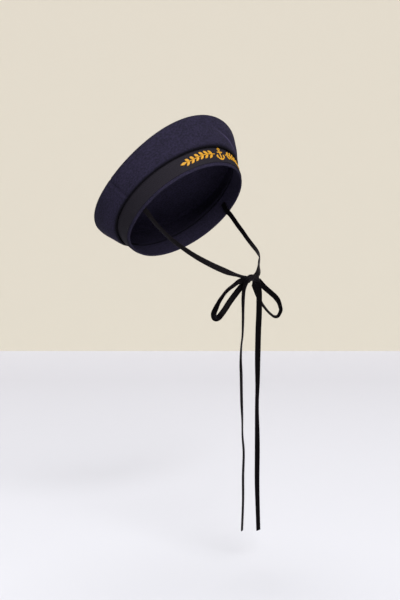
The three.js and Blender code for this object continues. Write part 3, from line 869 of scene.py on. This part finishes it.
def crown_top(material):
    """The crown's round top panel: a low dome, turned down at its edge into the seam on the rim."""
    inside = moved(RIM, -CLOTH_THICK, 0)
    upper_edge = turned_over(RIM, RIM_ROUND, math.pi / 2)
    lower_edge = turned_over(inside, RIM_ROUND - CLOTH_THICK, math.pi / 2)
    rows = [panel_row(upper_edge, share) for share in TOP_SHARES]
    for turn in np.linspace(math.pi / 2, RIM_SEAM, RIM_ROWS):
        rows.append(side_row(turned_over(RIM, RIM_ROUND, turn), 1.0))
    rows += rim_rows(ANGLES)
    for turn in np.linspace(RIM_SEAM, math.pi / 2, RIM_INSIDE_ROWS):
        rows.append(side_row(turned_over(inside, RIM_ROUND - CLOTH_THICK, turn), 1.0))
    rows += [panel_row(lower_edge, share) for share in TOP_SHARES[::-2]]
    points = np.stack(rows)
    faces = [corners[::-1] for corners in tube_faces(len(rows), ROUND_CAP)]
    places = np.concatenate([points.reshape(-1, 3)[f][:, :2] for f in faces])
    return make_piece("crown_top_cloth", leaned(points).reshape(-1, 3), faces, material, places)


# Embroidery on the ribbon, in satin stitch: an anchor between two leafy sprigs

# Thread, the padding under it, the half width that takes all of that, and how deep the edge is sunk
THREAD_MM = 0.7
THREAD_POINTS = 4
SATIN_COLUMNS = 9
SATIN_COLUMN_MM = 0.4
SATIN_PAD = 0.75
SATIN_PAD_FULL = 0.8
SATIN_EDGE = 0.02
SATIN_RIDGE = 0.10
SATIN_SINK = 0.2
# The anchor: mm up from the ribbon's foot, reach to each side of the middle, and widths of its strokes
RING_HIGH = 18.7
RING_ROUND = 1.8
RING_WIDE = 1.4
SHANK_TOP = 16.9
SHANK_FOOT = 4.4
SHANK_WIDE = 2.0
STOCK_HIGH = 14.4
STOCK_REACH = 4.8
STOCK_WIDE = 1.9
ARMS_HIGH = 10.8
ARMS_ROUND = 6.9
ARMS_WIDE = 2.3
ARMS_FROM_DEG = 200
ARMS_TO_DEG = 340
ARMS_TAPER = 0.35
FLUKE_FOOT = (7.4, 6.2)
FLUKE_TIP = (5.6, 11.2)
FLUKE_WIDE = 3.4
# A sprig: where its stem begins and ends beside the anchor, its height and sway, and its leaves
SPRIG_FROM = 11.0
SPRIG_TO = 57.0
SPRIG_HIGH = 11.6
SPRIG_SWAY = 1.2
SPRIG_SWAY_LONG = 9.0
STEM_WIDE = 1.2
LEAF_PAIRS = 6
FIRST_LEAF = 3.0
LEAF_STEP = 7.6
LEAF_LONG = 9.0
LEAF_SHRINK = 0.03
LEAF_WIDE = 3.7
LEAF_TIP = 0.02
LEAF_FULLNESS = 0.8
LEAF_SLANT = math.radians(38)
LEAF_STITCH_SLANT = 0.9
LEAF_VEIN_DEEP = 0.55
LEAF_VEIN_WIDE = 0.16

# A stroke of satin stitch: its path, its width along the path, and whether it is a leaf
Stroke = namedtuple("Stroke", "path width_at leaf", defaults=[False])


def on_ribbon(side, rise, out):
    """Points on the ribbon's face: mm to the side from the middle of the front, up from its foot, and
    out."""
    share = TALLY_FOOT + rise / BAND_TOP.height
    ring = moved(between(OPENING, BAND_TOP, share), GAP + TALLY_THICK + RIB_HIGH + out, 0)
    return ring_points(ring, side / ring.half_width)


def satin_stroke(stroke):
    """A padded band of satin stitch along a path on the ribbon; a leaf's stitches slant from its middle.
    Threads are drawn about twice as thick as real ones, so that they show."""
    run = steps_between(stroke.path)
    at = np.linspace(0, run[-1], math.ceil(run[-1] / (THREAD_MM / THREAD_POINTS)) + 1)
    middle = np.stack([np.interp(at, run, stroke.path[:, k]) for k in range(2)], -1)
    along = unit(np.gradient(middle, axis=0))
    square = np.stack([-along[:, 1], along[:, 0]], -1)
    half = stroke.width_at(at / run[-1])[:, None] / 2
    v = np.sin(np.linspace(-math.pi / 2, math.pi / 2, SATIN_COLUMNS))[None, :]
    slant = LEAF_STITCH_SLANT * np.abs(v) * half if stroke.leaf else 0.0
    threads = SATIN_RIDGE * np.cos(2 * math.pi * (at[:, None] - slant) / THREAD_MM)
    vein = 1 - LEAF_VEIN_DEEP * np.exp(-(v / LEAF_VEIN_WIDE) ** 2) if stroke.leaf else 1.0
    pad = SATIN_PAD * np.minimum(half / SATIN_PAD_FULL, 1.0) * np.sqrt(1 - v ** 2 + SATIN_EDGE)
    high = pad * vein + threads * (1 - v ** 2)
    place = middle[:, None] + square[:, None] * (half * v)[..., None]
    edges = place[:, [-1, 0]]
    top = on_ribbon(place[..., 0], place[..., 1], high)
    low = on_ribbon(edges[..., 0], edges[..., 1], np.full((len(at), 2), -SATIN_SINK))
    return np.concatenate([top, low], 1), at


def constant(width):
    return lambda share: np.full_like(share, width)


def tapered(width, end):
    return lambda share: width * (end + (1 - end) * np.sin(math.pi * share) ** 0.5)


def leaf_shape(width):
    return lambda share: width * np.sin(math.pi * np.clip(share, LEAF_TIP, 1 - LEAF_TIP)) ** LEAF_FULLNESS


def line(*stops):
    return np.asarray(stops, float)


def arc(height, radius, from_deg, to_deg):
    """Points on an arc round a place on the motif's upright middle."""
    a = np.radians(np.linspace(from_deg, to_deg, CURVE_POINTS))
    return np.stack([radius * np.cos(a), height + radius * np.sin(a)], -1)


def anchor_strokes():
    ring = arc(RING_HIGH, RING_ROUND, 90, 450)
    arms = arc(ARMS_HIGH, ARMS_ROUND, ARMS_FROM_DEG, ARMS_TO_DEG)
    shank = line((0, SHANK_TOP), (0, SHANK_FOOT))
    stock = line((-STOCK_REACH, STOCK_HIGH), (STOCK_REACH, STOCK_HIGH))
    strokes = [
        Stroke(ring, constant(RING_WIDE)),
        Stroke(arms, tapered(ARMS_WIDE, ARMS_TAPER)),
        Stroke(shank, constant(SHANK_WIDE)),
        Stroke(stock, constant(STOCK_WIDE)),
    ]
    for side in (-1, 1):
        fluke = line(FLUKE_FOOT, FLUKE_TIP) * (side, 1)
        strokes.append(Stroke(fluke, leaf_shape(FLUKE_WIDE)))
    return strokes


def sprig_strokes(side):
    s = np.linspace(SPRIG_FROM, SPRIG_TO, CURVE_POINTS)
    stem = np.stack([side * s, SPRIG_HIGH + SPRIG_SWAY * np.sin((s - SPRIG_FROM) / SPRIG_SWAY_LONG)], -1)
    strokes = [Stroke(stem, constant(STEM_WIDE))]
    for k in range(LEAF_PAIRS):
        leaf_at = SPRIG_FROM + FIRST_LEAF + LEAF_STEP * k
        foot = np.array([np.interp(leaf_at, s, stem[:, j]) for j in range(2)])
        length = LEAF_LONG * (1 - LEAF_SHRINK * k)
        for turn in (-1, 1):
            way = np.array([side * math.cos(LEAF_SLANT), turn * math.sin(LEAF_SLANT)])
            strokes.append(Stroke(line(foot + way, foot + way * length), leaf_shape(LEAF_WIDE), True))
    tip = stem[-1]
    strokes.append(Stroke(line(tip, tip + (side * LEAF_LONG, 0.0)), leaf_shape(LEAF_WIDE), True))
    return strokes


def embroidery(material):
    """Gold satin stitch across the middle of the front."""
    points, faces, places = [], [], []
    for stroke in anchor_strokes() + sprig_strokes(-1) + sprig_strokes(1):
        sewn, at = satin_stroke(stroke)
        rows, columns = sewn.shape[:2]
        faces += tube_faces(rows, columns, start=sum(map(len, points)))
        places.append(grid_map(np.arange(columns + 1) * SATIN_COLUMN_MM, at).reshape(-1, 2))
        places.append(np.zeros((2 * columns, 2)))
        points.append(leaned(sewn).reshape(-1, 3))
    return make_piece("front_embroidery", np.vstack(points), faces, material, np.concatenate(places))


# Hand stitches

STITCH_SIDES = 6
# A stitch's thickness along its length, as shares of both, and how far it bows out, as a share of that
STITCH_PROFILE = [(0.0, 0.25), (0.12, 0.8), (0.5, 1.0), (0.88, 0.8), (1.0, 0.25)]
STITCH_BOW = 0.8


def stitches(name, starts, ends, outward, thick, material):
    """A row of single stitches, each a short thread between two points, bowed outwards a little."""
    angle = round_steps(STITCH_SIDES)
    along = unit(ends - starts)
    side = unit(np.cross(along, outward))
    rings = []
    for share, swell in STITCH_PROFILE:
        bow = thick * STITCH_BOW * math.sin(math.pi * share)
        middle = starts + (ends - starts) * share + outward * bow
        spoke = side[:, None] * np.cos(angle)[:, None] + outward[:, None] * np.sin(angle)[:, None]
        rings.append(middle[:, None] + spoke * (thick / 2 * swell))
    points = np.stack(rings, 1)
    faces = []
    rows = len(STITCH_PROFILE)
    each = rows * STITCH_SIDES
    for start in range(0, len(starts) * each, each):
        faces += tube_faces(rows, STITCH_SIDES, start)
    return make_piece(name, points.reshape(-1, 3), faces, material)


HEM_STITCH_MM = 3.4
HEM_STITCH_LONG = 2.3
HEM_STITCH_UP = 4.0
HEM_STITCH_THICK = 0.55
HEM_STITCH_PROUD = 0.1


def hem_stitches(material):
    """The stitches that hold the band's fold, inside, a little above its lower edge."""
    count = round(BAND_GIRTH / HEM_STITCH_MM)
    starts = round_steps(count)
    ends = starts + 2 * np.pi / count * HEM_STITCH_LONG / HEM_STITCH_MM
    inward = np.stack([np.sin(starts), np.cos(starts), np.zeros(count)], -1)
    rows = []
    for a in (starts, ends):
        ring = moved(band_ring(HEM_STITCH_UP / BAND_TOP.height, a), -BAND_THICK - HEM_STITCH_PROUD, 0)
        rows.append(leaned(ring_points(ring, a)))
    return stitches("band_hem_stitches", *rows, leaned(inward), HEM_STITCH_THICK, material)


# The floor, the backdrop and the light

FLOOR_HIGH = -0.4805
FLOOR_LONG = 5.0
BACKDROP_TALL = 4.0
STAGE_HALF_WIDE = 4.0
# Each light: name, the way that it comes from, strength, and how soft it is in degrees
LIGHTS = [
    ("key_light", (-0.345, -0.735, 0.585), 4.1, 42),
    ("back_light", (0.32, 0.46, 0.83), 1.4, 50),
]
ROOM_STRENGTH = 0.12
BACKDROP_FOOT = Vector((1.638, 1.450, FLOOR_HIGH))


def add_stage():
    """A floor and an upright backdrop, square to the camera's heading. They hold no light back."""
    heading = Vector((math.sin(-CAMERA_HEADING), math.cos(CAMERA_HEADING), 0.0))
    side = Vector((heading.y, -heading.x, 0.0)) * STAGE_HALF_WIDE
    near = BACKDROP_FOOT - heading * FLOOR_LONG
    top = BACKDROP_FOOT + Vector((0, 0, BACKDROP_TALL))
    # The floor is painted darker towards the backdrop: painted shade, as the light falls off away from the
    # camera
    floor_paint = stage_paint("matt_floor_paint", [(0.42, "#dcdde4"), (0.86, "#bfbfc6")])
    backdrop_paint = stage_paint("matt_backdrop_paint", [(0.0, "#c2bcae"), (0.32, "#c7c0b2")])
    for name, first, second, paint in (
        ("floor", near, BACKDROP_FOOT, floor_paint),
        ("backdrop", BACKDROP_FOOT, top, backdrop_paint),
    ):
        corners = [first - side, first + side, second + side, second - side]
        mesh = bpy.data.meshes.new(name)
        mesh.from_pydata([tuple(c) for c in corners], [], [(0, 1, 2, 3)])
        mesh.uv_layers.new(name="cloth_mm").uv.foreach_set("vector", [0, 0, 1, 0, 1, 1, 0, 1])
        mesh.materials.append(paint)
        plane = bpy.data.objects.new(name, mesh)
        plane.visible_shadow = False
        bpy.context.scene.collection.objects.link(plane)


def add_light():
    """A soft key light, a soft light from behind, weak light from the room, and the room's pale wall beyond
    the stage, which is seen but lights nothing."""
    world = bpy.data.worlds.new("studio")
    world.use_nodes = True
    tree = world.node_tree
    tree.nodes.clear()
    room = add(tree, "ShaderNodeBackground", {"Color": linear("#fffefd"), "Strength": ROOM_STRENGTH})
    wall = add(tree, "ShaderNodeBackground", {"Color": linear("#e2dbce"), "Strength": 1.0})
    seen = add(tree, "ShaderNodeLightPath").outputs["Is Camera Ray"]
    both = add(tree, "ShaderNodeMixShader", {"Fac": seen, 1: room.outputs[0], 2: wall.outputs[0]})
    add(tree, "ShaderNodeOutputWorld", {"Surface": both.outputs["Shader"]})
    bpy.context.scene.world = world
    for name, way, strength, softness in LIGHTS:
        lamp = bpy.data.lights.new(name, "SUN")
        lamp.energy = strength
        lamp.angle = math.radians(softness)
        light = bpy.data.objects.new(name, lamp)
        light.rotation_euler = (-Vector(way)).to_track_quat("-Z", "Y").to_euler()
        bpy.context.scene.collection.objects.link(light)
    bpy.context.scene.view_settings.view_transform = "Standard"


# Building

def place(piece, node, slot):
    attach(piece, "root")
    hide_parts(node)
    return piece


add_camera()
# The near strap and the knot have the velvet painted lighter: a painted sheen of light thrown back at them
velvet = black_velvet("black_velvet_ribbon", "#040304", "#0b090b")
painted_sheen_velvet = black_velvet("black_velvet_ribbon_painted_sheen", "#0c0b0c", "#1c191b")
knot = place(bow_knot(painted_sheen_velvet), "bow_knot", "black_velvet")

BOW_WAY = one_way(BOW_FACES)
FRONT_WAY = one_way(FRONT)
TIE_PIECES = [
    ("tie_right", TIE_RIGHT_ROUTE, out_of_oval, TIE_RIGHT_TURNS, (None, TUCK_RIGHT), "knot", "taut"),
    ("tie_left", TIE_LEFT_ROUTE, out_of_oval, TIE_LEFT_TURNS, (None, TUCK_LEFT), "knot", "taut"),
    ("bow_loop_right", LOOP_RIGHT_ROUTE, BOW_WAY, LOOP_RIGHT_TURNS, (TUCK_RIGHT,) * 2, "knot", "hanging"),
    ("bow_loop_left", LOOP_LEFT_ROUTE, BOW_WAY, LOOP_LEFT_TURNS, (TUCK_LEFT,) * 2, "knot", "hanging"),
    ("tail_right", TAIL_RIGHT_ROUTE, FRONT_WAY, TAIL_RIGHT_TURNS, (TUCK_RIGHT, None), "bare", "hanging"),
    ("tail_left", TAIL_LEFT_ROUTE, FRONT_WAY, TAIL_LEFT_TURNS, (TUCK_LEFT, None), "bare", "hanging"),
]
for node, route, way_at, turns, tucks, far_end, lay in TIE_PIECES:
    gather = LONG_GATHER if node == "tie_right" else SHORT_GATHER
    # The near strap takes the velvet painted lighter, a painted sheen
    pile = painted_sheen_velvet if node == "tie_right" else velvet
    piece, path, length = tie_ribbon(node + "_ribbon", route, facing(way_at, turns), pile, tucks, gather)
    place(piece, node, "black_velvet")

# Each wool's last two colours are a painted highlight for a ridge and painted shade for the hem's fold
wool = wool_melton("navy_melton_wool", "#1e1c28", "#2a2639", "#3d374f", "#0a090e")
band_wool = wool_melton("navy_band_wool", "#1f1d29", "#2b273a", "#3d374f", "#0a090e")
for node, seam_from, seam_to in (
    ("crown_side_front", -SIDE_SEAM_DEG, SIDE_SEAM_DEG),
    ("crown_side_back", SIDE_SEAM_DEG, 360 - SIDE_SEAM_DEG),
):
    place(crown_side(node + "_cloth", wool, seam_from, seam_to), node, "navy_wool")
place(crown_top(wool), "crown_top", "navy_wool")
place(headband(band_wool), "headband", "navy_band")
place(tally_ribbon(black_grosgrain()), "tally_ribbon", "black_grosgrain")
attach(embroidery(gold_thread()), "root")
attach(hem_stitches(band_wool), "root")

add_stage()
add_light()
